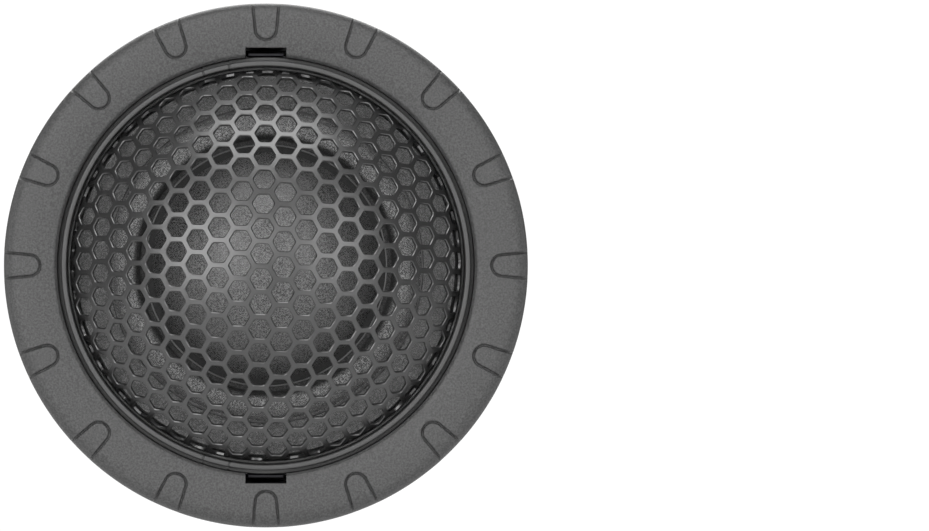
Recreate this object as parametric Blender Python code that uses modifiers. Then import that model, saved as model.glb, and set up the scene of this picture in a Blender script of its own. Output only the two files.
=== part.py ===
"""Car tweeter: a flush-mount dome tweeter with its trim flange, latches, panel clamp and motor.

Lengths are millimetres and become metres through MM. The tweeter's axis is the Y axis, its face
looks along -Y, and y = 0 is the face of the panel that it is fitted in. A profile is a list of
(r, f) pairs: r is the radius and f is the distance in front of the panel, so y = -f.
"""
import math

import bpy
import bmesh
from mathutils import Matrix, Vector
from mathutils.geometry import delaunay_2d_cdt

MM = 0.001
WELD = 1.0e-6

# ---- turned pieces: number of segments
OUTER_STEPS = 64
MIDDLE_STEPS = 48
INNER_STEPS = 32
SCREW_STEPS = 12

# ---- trim flange
FLANGE_R = 28.0
FLANGE_BORE_R = 22.3
FLANGE_BACK = 0.8
CREST_R = 24.6
CREST_F = 3.2
RECESS_COUNT = 16
RECESS_INNER_R = 24.1
RECESS_INNER_HALF = 1.15
RECESS_OUTER_HALF = 1.45
WINDOW_HALF = 2.19
WINDOW_R = 23.4

# ---- barrel and clamp
BARREL_R = 24.0
BARREL_BACK = -14.0
LEDGE_R = 19.6
LEDGE_FRONT = -5.8
LEDGE_BACK = -7.4
NUT_BORE_R = 24.3
NUT_FRONT = -7.1
NUT_BACK = -11.0
NUT_R = 27.5
NUT_GRIPS = 12
WASHER_R = 27.6
WASHER_FRONT = -6.0

# ---- latches
LATCH_HALF = 1.9
LATCH_IN = 22.35
LATCH_OUT = 22.65
LATCH_PIVOT_F = -8.2
LATCH_TIP_F = 1.6
LATCH_ROOT_F = -9.9

# ---- capsule: chassis, bead ring and grille
CAPSULE_R = 21.95
CHASSIS_FRONT = -0.5
CHASSIS_SEAT = -5.05
TUBE_R = 19.2
TUBE_BACK = -10.6
CHASSIS_BORE_R = 16.3
BEAD_BORE_R = 21.35
BEAD_TOP = 2.55
GRILLE_CAP_R = 29.0
GRILLE_APEX = 10.5
GRILLE_SHEET = 0.5
GRILLE_SKIRT_R = 20.9
GRILLE_BEND_R = 1.0
GRILLE_FOOT = -0.45
HOLE_PITCH = 2.66
HOLE_FLATS = 2.04
HOLE_MARGIN = 0.3
LATTICE_AT = (-0.41, 1.24)
LATTICE_LEAN = 1.6

# ---- diaphragm
DOME_BASE_R = 12.2
DOME_FOOT_R = 12.85
DOME_FOOT_F = 0.45
DOME_APEX = 6.9
CLOTH = 0.25
FORMER_IN = 12.6
FORMER_OUT = 12.8
COIL_IN = 12.85
COIL_OUT = 13.15
ROLL_R = 15.0
ROLL_HALF = 1.4
ROLL_HEIGHT = 1.65
ROLL_INNER_F = 0.325
ROLL_OUTER_F = -0.475
SURROUND_R = 16.8

# ---- motor
VENT_R = 2.0
POLE_R = 12.3
MAGNET_R = 11.5
CUP_BORE_R = 13.45
CUP_R = 16.2
CUP_FRONT = -2.5
CUP_FLOOR = -9.05
CUP_BACK = -11.5

# ---- rear
COVER_FRONT = -10.65
COVER_BACK = -16.6
COVER_FLOOR = -15.2
COVER_BORE_R = 16.4
SCREW_AT_R = 17.6
SCREW_ANGLES = (90.0, 210.0, 330.0)
LEAD_R = 0.25
LEAD_RUN_R = 16.85
BLADE_THICK = 0.8
BLADE_TIP = -24.4
BLADE_INNER = -14.9
BLADES = {"positive": (3.0, 7.8), "negative": (-6.8, -4.0)}
BOARD_HALF_X = 11.0
BOARD_HALF_Z = 5.5
BOARD_BACK = -18.2

# ---- look: grey level, roughness and metallic share
LOOKS = {
    "textured_plastic": (0.07, 0.62, 0.0),
    "moulded_plastic": (0.04, 0.5, 0.0),
    "foam": (0.02, 0.95, 0.0),
    "rubber": (0.03, 0.8, 0.0),
    "zinc_steel": (0.55, 0.35, 1.0),
    "spring_steel": (0.4, 0.3, 1.0),
    "painted_steel": (0.05, 0.38, 0.0),
    "coated_cloth": (0.12, 0.85, 0.0),
    "kapton": (0.2, 0.4, 0.0),
    "enamelled_wire": (0.3, 0.3, 0.6),
    "felt": (0.25, 0.95, 0.0),
    "nickelled_magnet": (0.6, 0.25, 1.0),
    "wadding": (0.75, 1.0, 0.0),
    "phenolic": (0.1, 0.6, 0.0),
    "tinned_brass": (0.7, 0.3, 1.0),
    "insulated_wire": (0.03, 0.6, 0.0),
}


def clear_scene():
    """Take away every object that the file starts with."""
    for old in list(bpy.data.objects):
        bpy.data.objects.remove(old, do_unlink=True)


def new_collection(name):
    """A collection in the scene."""
    made = bpy.data.collections.new(name)
    bpy.context.scene.collection.children.link(made)
    return made


clear_scene()
PARTS = new_collection("car_tweeter")
CUTTERS = new_collection("cutters")


def paint(target, look):
    """Give an object its own Principled material."""
    grey, roughness, metallic = LOOKS[look]
    made = bpy.data.materials.new(target.name + "_" + look)
    made.use_nodes = True
    shader = made.node_tree.nodes["Principled BSDF"]
    shader.inputs["Base Color"].default_value = (grey, grey, grey, 1.0)
    shader.inputs["Roughness"].default_value = roughness
    shader.inputs["Metallic"].default_value = metallic
    target.data.materials.append(made)


def add_object(name, data, look):
    """Put data in the scene: a part if it has a look, otherwise a hidden cutter."""
    made = bpy.data.objects.new(name, data)
    if look is None:
        CUTTERS.objects.link(made)
        made.hide_render = True
        made.display_type = "WIRE"
    else:
        PARTS.objects.link(made)
        paint(made, look)
    return made


def wound(profile):
    """The profile turned, where needed, so that its outer side runs from the back to the front."""
    area = 0.0
    for (r0, f0), (r1, f1) in zip(profile, profile[1:] + profile[:1]):
        area += r0 * -f1 - r1 * -f0
    return profile if area < 0.0 else profile[::-1]


def turned(name, profile, steps, look=None, at=(0.0, 0.0)):
    """A body of revolution round an axis parallel to Y, through at = (x, z)."""
    points = wound(profile)
    solid = min(r for r, _ in points) == 0.0
    if solid:
        while points[0][0] != 0.0 or points[-1][0] != 0.0:
            points = points[1:] + points[:1]
    edges = [(i, i + 1) for i in range(len(points) - 1)]
    if not solid:
        edges.append((len(points) - 1, 0))
    mesh = bpy.data.meshes.new(name)
    mesh.from_pydata([(r * MM, -f * MM, 0.0) for r, f in points], edges, [])
    made = add_object(name, mesh, look)
    made.location = (at[0] * MM, 0.0, at[1] * MM)
    screw = made.modifiers.new("turn", "SCREW")
    screw.axis = "Y"
    screw.angle = 2.0 * math.pi
    screw.steps = steps
    screw.render_steps = steps
    screw.screw_offset = 0.0
    screw.use_merge_vertices = True
    screw.merge_threshold = WELD
    screw.use_smooth_shade = True
    return made


def band(line, thickness):
    """The closed outline of a sheet of even thickness along a middle line."""
    front = []
    back = []
    for i, (r, f) in enumerate(line):
        before = line[max(i - 1, 0)]
        after = line[min(i + 1, len(line) - 1)]
        along = Vector((after[0] - before[0], after[1] - before[1])).normalized()
        front.append((r - along.y * thickness / 2.0, f + along.x * thickness / 2.0))
        back.append((r + along.y * thickness / 2.0, f - along.x * thickness / 2.0))
    return front + back[::-1]


def cap(radius, apex, r_end, count):
    """Points of a spherical cap from the axis out to r_end."""
    points = []
    for i in range(count + 1):
        r = r_end * i / count
        points.append((r, apex - radius + math.sqrt(radius * radius - r * r)))
    return points


def boxes(name, spans, look=None, bevel=0.0):
    """Boxes in one mesh; a span is (x0, x1, f0, f1, z0, z1)."""
    shape = bmesh.new()
    for x0, x1, f0, f1, z0, z1 in spans:
        size = Matrix.Diagonal(((x1 - x0) * MM, abs(f1 - f0) * MM, (z1 - z0) * MM, 1.0))
        middle = Vector((x0 + x1, -(f0 + f1), z0 + z1)) * (MM / 2.0)
        bmesh.ops.create_cube(shape, size=1.0, matrix=Matrix.Translation(middle) @ size)
    mesh = bpy.data.meshes.new(name)
    shape.to_mesh(mesh)
    shape.free()
    made = add_object(name, mesh, look)
    if bevel > 0.0:
        rounding = made.modifiers.new("edges", "BEVEL")
        rounding.width = bevel * MM
        rounding.segments = 2
    return made


def pegs(name, centres, radius, f0, f1, segments):
    """Cutting cylinders parallel to Y; a centre is (x, z)."""
    shape = bmesh.new()
    turn = Matrix.Rotation(math.pi / 2.0, 4, "X")
    for x, z in centres:
        place = Matrix.Translation(Vector((x, -(f0 + f1) / 2.0, z)) * MM)
        bmesh.ops.create_cone(
            shape,
            cap_ends=True,
            segments=segments,
            radius1=radius * MM,
            radius2=radius * MM,
            depth=abs(f1 - f0) * MM,
            matrix=place @ turn,
        )
    mesh = bpy.data.meshes.new(name)
    shape.to_mesh(mesh)
    shape.free()
    return add_object(name, mesh, None)


def plates(name, outlines, thickness, look=None, at=(0.0, 0.0, 0.0)):
    """Flat outlines of (x, y, z) points in mm, thickened evenly to both sides."""
    points = []
    faces = []
    for outline in outlines:
        faces.append(tuple(range(len(points), len(points) + len(outline))))
        points.extend((x * MM, y * MM, z * MM) for x, y, z in outline)
    mesh = bpy.data.meshes.new(name)
    mesh.from_pydata(points, [], faces)
    made = add_object(name, mesh, look)
    made.location = Vector(at) * MM
    thick = made.modifiers.new("thickness", "SOLIDIFY")
    thick.thickness = thickness * MM
    thick.offset = 0.0
    return made


def cut(target, cutter, operation="DIFFERENCE"):
    """Subtract, or keep what is shared with, another object."""
    step = target.modifiers.new(cutter.name, "BOOLEAN")
    step.operation = operation
    step.solver = "EXACT"
    step.object = cutter


def around(radius, angles):
    """Centres (x, z) on a circle, at angles in degrees from +X towards +Z."""
    return [
        (radius * math.cos(math.radians(a)), radius * math.sin(math.radians(a))) for a in angles
    ]


def build_flange():
    """The trim flange: crowned ring, shallow recesses open at the outer edge, two windows."""
    crown = [
        (FLANGE_BORE_R, 2.3),
        (22.8, 2.8),
        (23.6, 3.05),
        (CREST_R, CREST_F),
        (25.8, 3.1),
        (26.8, 2.75),
        (27.45, 2.3),
        (27.85, 1.75),
        (FLANGE_R, 1.2),
    ]
    flange = turned(
        "trim_flange",
        crown + [(FLANGE_R, FLANGE_BACK), (FLANGE_BORE_R, FLANGE_BACK)],
        OUTER_STEPS,
        "textured_plastic",
    )
    outline = []
    bend_r = RECESS_INNER_R + RECESS_INNER_HALF
    for i in range(9):
        a = math.radians(90.0 + 180.0 * i / 8)
        outline.append(
            (RECESS_INNER_HALF * math.sin(a), bend_r + RECESS_INNER_HALF * math.cos(a))
        )
    outline.append((-RECESS_OUTER_HALF, FLANGE_R + 0.6))
    outline.append((RECESS_OUTER_HALF, FLANGE_R + 0.6))
    shapes = []
    for k in range(RECESS_COUNT):
        turn = Matrix.Rotation(2.0 * math.pi * k / RECESS_COUNT, 3, "Y")
        shapes.append([tuple(turn @ Vector((x, -CREST_F, z))) for x, z in outline])
    recesses = plates("recess_cutter", shapes, 5.0)
    floor = [(23.5, 2.8), (CREST_R, 2.9), (25.8, 2.8), (26.75, 2.45), (27.5, 1.95), (29.5, 0.075)]
    skin = turned("recess_floor_cutter", floor + [(29.5, 5.0), (23.5, 5.0)], OUTER_STEPS)
    cut(recesses, skin, "INTERSECT")
    cut(flange, recesses)
    spans = [
        (-WINDOW_HALF, WINDOW_HALF, 0.3, 4.0, 21.0, WINDOW_R),
        (-WINDOW_HALF, WINDOW_HALF, 0.3, 4.0, -WINDOW_R, -21.0),
    ]
    cut(flange, boxes("window_cutter", spans))


def build_barrel():
    """The barrel that goes through the panel, with the ledge for the capsule."""
    front = FLANGE_BACK - 0.05
    profile = [
        (FLANGE_BORE_R, front),
        (BARREL_R, front),
        (BARREL_R, BARREL_BACK),
        (22.6, BARREL_BACK),
        (22.6, LEDGE_BACK),
        (LEDGE_R, LEDGE_BACK),
        (LEDGE_R, LEDGE_FRONT),
        (FLANGE_BORE_R, LEDGE_FRONT),
    ]
    barrel = turned("mounting_barrel", profile, OUTER_STEPS, "moulded_plastic")
    half = LATCH_HALF + 0.29
    clear = LATCH_PIVOT_F + 0.4
    spans = [
        (-half, half, clear, 2.0, 22.0, WINDOW_R),
        (-half, half, LATCH_ROOT_F - 0.2, clear + 0.1, 22.0, LATCH_OUT + 0.15),
        (-half, half, clear, 2.0, -WINDOW_R, -22.0),
        (-half, half, LATCH_ROOT_F - 0.2, clear + 0.1, -LATCH_OUT - 0.15, -22.0),
    ]
    for number in range(4):
        cut(barrel, boxes("latch_channel_cutter_%d" % number, spans[number:number + 1]))


def build_clamp():
    """The panel gasket, and the washer and nut behind the panel."""
    gasket = [(24.6, 0.0), (27.4, 0.0), (27.4, FLANGE_BACK - 0.05), (24.6, FLANGE_BACK - 0.05)]
    turned("panel_gasket", gasket, MIDDLE_STEPS, "foam")
    washer_back = NUT_FRONT + 0.1
    washer = [
        (NUT_BORE_R, WASHER_FRONT),
        (WASHER_R, WASHER_FRONT),
        (WASHER_R, washer_back),
        (NUT_BORE_R, washer_back),
    ]
    turned("clamp_washer", washer, MIDDLE_STEPS, "zinc_steel")
    nut = [
        (NUT_BORE_R, NUT_FRONT),
        (NUT_R, NUT_FRONT),
        (NUT_R, NUT_FRONT - 1.5),
        (26.2, NUT_FRONT - 1.5),
        (26.2, NUT_BACK),
        (NUT_BORE_R, NUT_BACK),
    ]
    clamp_nut = turned("clamp_nut", nut, MIDDLE_STEPS, "moulded_plastic")
    grips = around(NUT_R + 0.6, [15.0 + 360.0 * k / NUT_GRIPS for k in range(NUT_GRIPS)])
    cut(clamp_nut, pegs("grip_cutter", grips, 1.5, NUT_FRONT + 0.5, NUT_BACK - 1.0, 12))


def build_latch(name, side):
    """A sprung strip with a nose; its origin is on its hinge line. side is 1 on top, -1 below."""
    middle = (LATCH_IN + LATCH_OUT) / 2.0
    outline = [
        (LATCH_ROOT_F, LATCH_OUT),
        (LATCH_TIP_F, LATCH_OUT),
        (LATCH_TIP_F, LATCH_IN),
        (-1.05, LATCH_IN),
        (-1.4, 21.75),
        (-2.0, 21.75),
        (-2.0, LATCH_IN),
        (LATCH_ROOT_F, LATCH_IN),
    ]
    points = [(0.0, LATCH_PIVOT_F - f, side * (z - middle)) for f, z in outline]
    plates(
        name, [points], 2.0 * LATCH_HALF, "spring_steel", (0.0, -LATCH_PIVOT_F, side * middle)
    )


def grille_tilt():
    """Angle at which the grille's cap ends and its shoulder begins."""
    return math.asin((GRILLE_SKIRT_R - GRILLE_BEND_R) / (GRILLE_CAP_R - GRILLE_BEND_R))


def on_grille(x, z, depth):
    """A point of the flat sheet on the dome, at a depth under the outer face.

    Its distance from the middle becomes the arc length over the cap, the shoulder and the skirt.
    """
    tilt = grille_tilt()
    cap_arc = GRILLE_CAP_R * tilt
    bend_arc = GRILLE_BEND_R * (math.pi / 2.0 - tilt)
    arc = math.hypot(x, z)
    bend = GRILLE_CAP_R if arc <= cap_arc else GRILLE_BEND_R
    over = min(max(arc - cap_arc, 0.0), bend_arc)
    angle = min(arc, cap_arc) / GRILLE_CAP_R + over / GRILLE_BEND_R
    down = max(arc - cap_arc - bend_arc, 0.0)
    middle = GRILLE_CAP_R - bend
    r = middle * math.sin(tilt) + (bend - depth) * math.sin(angle)
    f = GRILLE_APEX - GRILLE_CAP_R + middle * math.cos(tilt) + (bend - depth) * math.cos(angle)
    scale = r / max(arc, 1.0e-9)
    return (x * scale * MM, -(f - down) * MM, z * scale * MM)


def hole_centres(reach):
    """Centres of the holes on the flat sheet: a triangular lattice that leans a little."""
    lean = math.radians(LATTICE_LEAN)
    count = int(reach / HOLE_PITCH) + 4
    centres = []
    for i in range(-count, count + 1):
        for j in range(-count - 1, count + 1):
            u = i * HOLE_PITCH * math.sqrt(3.0) / 2.0
            v = (j + 0.5 * (i % 2)) * HOLE_PITCH
            x = u * math.cos(lean) + v * math.sin(lean) + LATTICE_AT[0]
            z = v * math.cos(lean) - u * math.sin(lean) + LATTICE_AT[1]
            if math.hypot(x, z) < reach:
                centres.append((x, z))
    return centres


def build_grille():
    """The grille: a domed sheet with hexagonal holes, laid out flat and wrapped over the dome."""
    tilt = grille_tilt()
    cap_arc = GRILLE_CAP_R * tilt
    bend_arc = GRILLE_BEND_R * (math.pi / 2.0 - tilt)
    skirt_f = GRILLE_APEX - GRILLE_CAP_R + (GRILLE_CAP_R - GRILLE_BEND_R) * math.cos(tilt)
    foot_arc = cap_arc + bend_arc + skirt_f - GRILLE_FOOT
    corner = HOLE_FLATS / math.sqrt(3.0)
    centres = hole_centres(cap_arc - HOLE_MARGIN - corner)

    flat = []
    edges = []
    loops = [(c, corner, 6, -math.radians(LATTICE_LEAN)) for c in centres]
    for arc in (cap_arc, cap_arc + bend_arc / 2.0, cap_arc + bend_arc, foot_arc):
        loops.append(((0.0, 0.0), arc, MIDDLE_STEPS, 0.0))
    for (x, z), size, sides, turn in loops:
        first = len(flat)
        for k in range(sides):
            a = turn + 2.0 * math.pi * k / sides
            flat.append(Vector((x + size * math.cos(a), z + size * math.sin(a))))
            edges.append((first + k, first + (k + 1) % sides))
    flat, _, faces, _, _, _ = delaunay_2d_cdt(flat, edges, [], 0, 1.0e-6)

    sheet = []
    for face in faces:
        middle = sum((flat[i] for i in face), Vector((0.0, 0.0))) / len(face)
        gap = min(math.hypot(middle.x - x, middle.y - z) for x, z in centres)
        if gap > HOLE_FLATS / 2.0:
            sheet.append(tuple(face))
    sides = {}
    for face in sheet:
        for a, b in zip(face, face[1:] + face[:1]):
            if sides.pop((b, a), None) is None:
                sides[(a, b)] = True
    count = len(flat)
    solid = list(sheet)
    solid += [tuple(i + count for i in reversed(face)) for face in sheet]
    solid += [(b, a, a + count, b + count) for a, b in sides]
    points = [on_grille(p.x, p.y, 0.0) for p in flat]
    points += [on_grille(p.x, p.y, GRILLE_SHEET) for p in flat]

    shape = bmesh.new()
    corners = [shape.verts.new(p) for p in points]
    for face in solid:
        shape.faces.new([corners[i] for i in face])
    bmesh.ops.recalc_face_normals(shape, faces=shape.faces)
    mesh = bpy.data.meshes.new("grille")
    shape.to_mesh(mesh)
    shape.free()
    add_object("grille", mesh, "painted_steel")


def build_capsule_shell():
    """The chassis, the bead ring and the gasket under the capsule."""
    chassis_profile = [
        (CAPSULE_R, CHASSIS_FRONT),
        (CAPSULE_R, CHASSIS_SEAT),
        (TUBE_R, CHASSIS_SEAT),
        (TUBE_R, TUBE_BACK),
        (CHASSIS_BORE_R, TUBE_BACK),
        (CHASSIS_BORE_R, CUP_FRONT + 0.05),
        (15.6, CUP_FRONT + 0.05),
        (15.6, -0.65),
        (SURROUND_R + 0.05, -0.65),
        (SURROUND_R + 0.05, -0.1),
        (18.6, 0.4),
        (20.25, 1.0),
        (20.25, CHASSIS_FRONT),
    ]
    chassis = turned("chassis", chassis_profile, MIDDLE_STEPS, "moulded_plastic")
    spans = [
        (-2.2, 2.2, -2.3, -0.9, 21.55, 22.5),
        (-2.2, 2.2, -2.3, -0.9, -22.5, -21.55),
    ]
    cut(chassis, boxes("latch_notch_cutter", spans))
    spans = [
        (14.5, LEAD_RUN_R + 0.6, -11.0, -1.2, -0.6, 0.6),
        (-LEAD_RUN_R - 0.6, -14.5, -11.0, -1.2, -0.6, 0.6),
    ]
    cut(chassis, boxes("chassis_lead_cutter", spans))
    centres = around(SCREW_AT_R, SCREW_ANGLES)
    cut(chassis, pegs("chassis_screw_cutter", centres, 1.0, -11.0, -8.0, SCREW_STEPS))

    foot = CHASSIS_FRONT + 0.05
    bead = [
        (BEAD_BORE_R, foot),
        (CAPSULE_R, foot),
        (CAPSULE_R, 2.2),
        (21.88, 2.43),
        (21.65, BEAD_TOP),
        (21.42, 2.43),
        (BEAD_BORE_R, 2.2),
    ]
    turned("grille_ring", bead, MIDDLE_STEPS, "moulded_plastic")

    gasket = [(19.8, -5.75), (21.8, -5.75), (21.8, -5.1), (19.8, -5.1)]
    turned("capsule_gasket", gasket, MIDDLE_STEPS, "rubber")


def build_diaphragm():
    """The dome, its coil, and the surround between the dome and the chassis."""
    rise = DOME_APEX - DOME_FOOT_F
    radius = (DOME_BASE_R ** 2 + rise ** 2) / (2.0 * rise)
    outer = cap(radius, DOME_APEX, DOME_BASE_R, 9)
    centre = DOME_APEX - radius
    under = DOME_FOOT_F - CLOTH
    inner_end = math.sqrt((radius - CLOTH) ** 2 - (under - centre) ** 2)
    inner = cap(radius - CLOTH, DOME_APEX - CLOTH, inner_end, 9)
    foot = [(DOME_FOOT_R, DOME_FOOT_F), (DOME_FOOT_R, under)]
    turned("dome", outer + foot + inner[::-1], INNER_STEPS, "coated_cloth")

    line = [(DOME_FOOT_R + 0.1, ROLL_INNER_F)]
    for i in range(9):
        t = math.pi * i / 8
        share = (1.0 - math.cos(t)) / 2.0
        base = ROLL_INNER_F + share * (ROLL_OUTER_F - ROLL_INNER_F)
        line.append((ROLL_R - ROLL_HALF * math.cos(t), base + ROLL_HEIGHT * math.sin(t)))
    line.append((SURROUND_R, ROLL_OUTER_F))
    turned("surround", band(line, CLOTH), MIDDLE_STEPS, "coated_cloth")

    former = [(FORMER_IN, -6.0), (FORMER_OUT, -6.0), (FORMER_OUT, 0.15), (FORMER_IN, 0.15)]
    turned("voice_coil_former", former, INNER_STEPS, "kapton")
    coil = [(COIL_IN, -5.2), (COIL_OUT, -5.2), (COIL_OUT, -2.6), (COIL_IN, -2.6)]
    turned("voice_coil", coil, INNER_STEPS, "enamelled_wire")


def build_motor():
    """The steel cup, the magnet, the pole disc and the felt under the dome."""
    cup = [
        (VENT_R, CUP_BACK),
        (CUP_R, CUP_BACK),
        (CUP_R, CUP_FRONT),
        (CUP_BORE_R, CUP_FRONT),
        (CUP_BORE_R, CUP_FLOOR),
        (VENT_R, CUP_FLOOR),
    ]
    turned("motor_cup", cup, INNER_STEPS, "zinc_steel")
    magnet_back = CUP_FLOOR + 0.05
    pole_back = -5.0
    pole_front = -3.0
    magnet = [
        (VENT_R, magnet_back),
        (MAGNET_R, magnet_back),
        (MAGNET_R, pole_back - 0.05),
        (VENT_R, pole_back - 0.05),
    ]
    turned("magnet", magnet, INNER_STEPS, "nickelled_magnet")
    pole = [(VENT_R, pole_back), (POLE_R, pole_back), (POLE_R, pole_front), (VENT_R, pole_front)]
    turned("pole_disc", pole, INNER_STEPS, "zinc_steel")
    felt_back = pole_front + 0.05
    felt = [(VENT_R + 0.4, felt_back), (10.5, felt_back), (10.5, -1.6), (VENT_R + 0.4, -1.6)]
    turned("felt_pad", felt, INNER_STEPS, "felt")


def build_rear():
    """The rear cover with its wadding and screws, and the terminals with their leads."""
    cover_profile = [
        (0.0, COVER_FLOOR),
        (COVER_BORE_R, COVER_FLOOR),
        (COVER_BORE_R, COVER_FRONT),
        (TUBE_R, COVER_FRONT),
        (TUBE_R, COVER_BACK + 0.3),
        (TUBE_R - 0.3, COVER_BACK),
        (0.0, COVER_BACK),
    ]
    cover = turned("rear_cover", cover_profile, MIDDLE_STEPS, "moulded_plastic")
    centres = around(SCREW_AT_R, SCREW_ANGLES)
    cut(cover, pegs("cover_screw_cutter", centres, 1.0, -18.0, -10.0, SCREW_STEPS))
    spans = [
        (14.5, LEAD_RUN_R + 0.6, COVER_FLOOR + 0.2, -10.0, -0.6, 0.6),
        (-LEAD_RUN_R - 0.6, -14.5, COVER_FLOOR + 0.2, -10.0, -0.6, 0.6),
    ]
    cut(cover, boxes("cover_lead_cutter", spans))
    slot = BLADE_THICK / 2.0 + 0.2
    spans = [(x0 - 0.2, x1 + 0.2, -20.0, -14.0, -slot, slot) for x0, x1 in BLADES.values()]
    slots = boxes("blade_slot_cutter", spans)
    cut(cover, slots)

    wadding = [(0.0, -13.9), (15.6, -13.9), (15.6, -11.8), (0.0, -11.8)]
    turned("rear_wadding", wadding, INNER_STEPS, "wadding")

    for number, centre in enumerate(centres, 1):
        screw = [
            (0.0, -17.7),
            (0.9, -17.7),
            (1.4, -17.3),
            (1.4, COVER_BACK - 0.05),
            (0.8, COVER_BACK - 0.05),
            (0.8, -9.0),
            (0.0, -8.4),
        ]
        turned("rear_screw_%d" % number, screw, SCREW_STEPS, "zinc_steel", centre)

    board_front = COVER_BACK - 0.05
    span = (-BOARD_HALF_X, BOARD_HALF_X, BOARD_BACK, board_front, -BOARD_HALF_Z, BOARD_HALF_Z)
    board = boxes("terminal_board", [span], "phenolic")
    cut(board, slots)

    for pole, (x0, x1) in BLADES.items():
        outline = [
            (x0, BLADE_INNER),
            (x1, BLADE_INNER),
            (x1, BLADE_TIP + 1.0),
            (x1 - 0.7, BLADE_TIP),
            (x0 + 0.7, BLADE_TIP),
            (x0, BLADE_TIP + 1.0),
        ]
        blade = plates(
            "terminal_" + pole, [[(x, -f, 0.0) for x, f in outline]], BLADE_THICK, "tinned_brass"
        )
        hole = boxes(
            "blade_hole_cutter_" + pole,
            [((x0 + x1) / 2 - 0.6, (x0 + x1) / 2 + 0.6, -22.4, -21.2, -1.0, 1.0)],
        )
        cut(blade, hole)
        side = 1.0 if x0 > 0.0 else -1.0
        build_lead("lead_" + pole, side, (x0 + x1) / 2.0)


def build_lead(name, side, start):
    """A lead from the inner end of a blade, out and forward past the motor, to the coil."""
    points = [
        (start, -14.45),
        (side * 15.4, -14.45),
        (side * LEAD_RUN_R, -13.2),
        (side * LEAD_RUN_R, -2.8),
        (side * 16.0, -1.8),
        (side * 13.7, -1.8),
    ]
    curve = bpy.data.curves.new(name, "CURVE")
    curve.dimensions = "3D"
    curve.bevel_depth = LEAD_R * MM
    curve.bevel_resolution = 1
    curve.use_fill_caps = True
    line = curve.splines.new("POLY")
    line.points.add(len(points) - 1)
    for knot, (x, f) in zip(line.points, points):
        knot.co = (x * MM, -f * MM, 0.0, 1.0)
    add_object(name, curve, "insulated_wire")


build_flange()
build_barrel()
build_clamp()
build_latch("latch_spring_top", 1.0)
build_latch("latch_spring_bottom", -1.0)
build_capsule_shell()
build_grille()
build_diaphragm()
build_motor()
build_rear()
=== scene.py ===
"""Looks of the car tweeter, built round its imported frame.

The tweeter's axis is the Y axis, its face looks along -Y and +Z is up. Classes hold lengths in
millimetres, and put_mesh turns them into metres. A profile is an array of (r, f) points: r is the
radius and f the distance in front of the panel face, so y = -f. An angle round the axis starts at
the top and grows towards +X.
"""

import logging
import math
from dataclasses import dataclass
from enum import Enum
from typing import Any

import bmesh
import bpy
import numpy as np
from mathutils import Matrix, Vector


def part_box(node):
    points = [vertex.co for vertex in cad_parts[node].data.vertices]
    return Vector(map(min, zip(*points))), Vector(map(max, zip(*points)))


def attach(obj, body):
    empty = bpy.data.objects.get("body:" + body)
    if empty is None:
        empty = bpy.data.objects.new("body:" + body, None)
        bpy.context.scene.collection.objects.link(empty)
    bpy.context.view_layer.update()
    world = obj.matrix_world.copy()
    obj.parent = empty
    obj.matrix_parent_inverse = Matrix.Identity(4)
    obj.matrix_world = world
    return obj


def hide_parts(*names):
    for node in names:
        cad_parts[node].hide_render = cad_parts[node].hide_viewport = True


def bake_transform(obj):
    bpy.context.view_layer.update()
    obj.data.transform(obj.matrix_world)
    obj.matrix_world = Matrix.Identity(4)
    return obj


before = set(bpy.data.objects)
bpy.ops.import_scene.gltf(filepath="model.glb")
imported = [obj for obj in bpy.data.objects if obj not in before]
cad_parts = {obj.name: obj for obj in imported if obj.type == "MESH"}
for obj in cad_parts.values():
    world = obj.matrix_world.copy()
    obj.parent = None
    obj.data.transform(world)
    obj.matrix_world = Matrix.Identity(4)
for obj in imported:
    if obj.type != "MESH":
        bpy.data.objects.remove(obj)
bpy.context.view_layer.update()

MM = 0.001
FULL_TURN = 2.0 * math.pi
CREASE = 32.0
LOG = logging.getLogger("car_tweeter")

Points = np.ndarray
Faces = np.ndarray
Corner = tuple[float, float, float]
Piece = bpy.types.Object
Tree = bpy.types.NodeTree
Socket = bpy.types.NodeSocket


# ---------------------------------------------------------------- places taken from the frame


@dataclass(frozen=True)
class Envelope:
    """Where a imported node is: its outer radius and its front and back planes, in mm."""

    radius: float
    front: float
    back: float


def envelope(node: str) -> Envelope:
    """Measure a node of the frame, by its name."""
    low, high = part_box(node)
    return Envelope((high.x - low.x) / 2.0 / MM, -low.y / MM, -high.y / MM)


# ---------------------------------------------------------------- surfaces


def even_angles(count: int) -> Points:
    """Angles evenly spread round the axis, without the closing one."""
    return np.arange(count) * FULL_TURN / count


def turned(profile: Points, angles: Points) -> Points:
    """Carry a profile round the axis: (r, f) at angle a goes to (r sin a, -f, r cos a).

    Args:
        profile: (n, 2) radii and distances in front of the panel, or (m, n, 2) for m angles.
        angles: (m,) angles in radians.

    Returns:
        An (m, n, 3) grid of points.
    """
    r, f, a = profile[..., 0], profile[..., 1], angles[:, None]
    return np.stack(np.broadcast_arrays(r * np.sin(a), -f, r * np.cos(a)), axis=-1)


def chained(count: int, *lines: Points) -> Points:
    """Lines of (r, f) points end to end, as one (count, n, 2) array."""
    return np.concatenate([np.broadcast_to(k, (count, *k.shape[-2:])) for k in lines], axis=1)


def grid_faces(rows: int, columns: int, wrap_rows: bool, wrap_columns: bool) -> Faces:
    """Quads between the neighbours of a grid of points.

    Args:
        rows: number of rows.
        columns: number of points in a row.
        wrap_rows: whether the last row joins the first.
        wrap_columns: whether the last column joins the first.

    Returns:
        An (n, 4) array of point numbers.
    """
    row = np.arange(rows if wrap_rows else rows - 1)[:, None]
    column = np.arange(columns if wrap_columns else columns - 1)[None, :]
    next_row, next_column = (row + 1) % rows, (column + 1) % columns
    corners = [(row, column), (next_row, column), (next_row, next_column), (row, next_column)]
    return np.stack([i * columns + j for i, j in corners], axis=-1).reshape(-1, 4)


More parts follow.
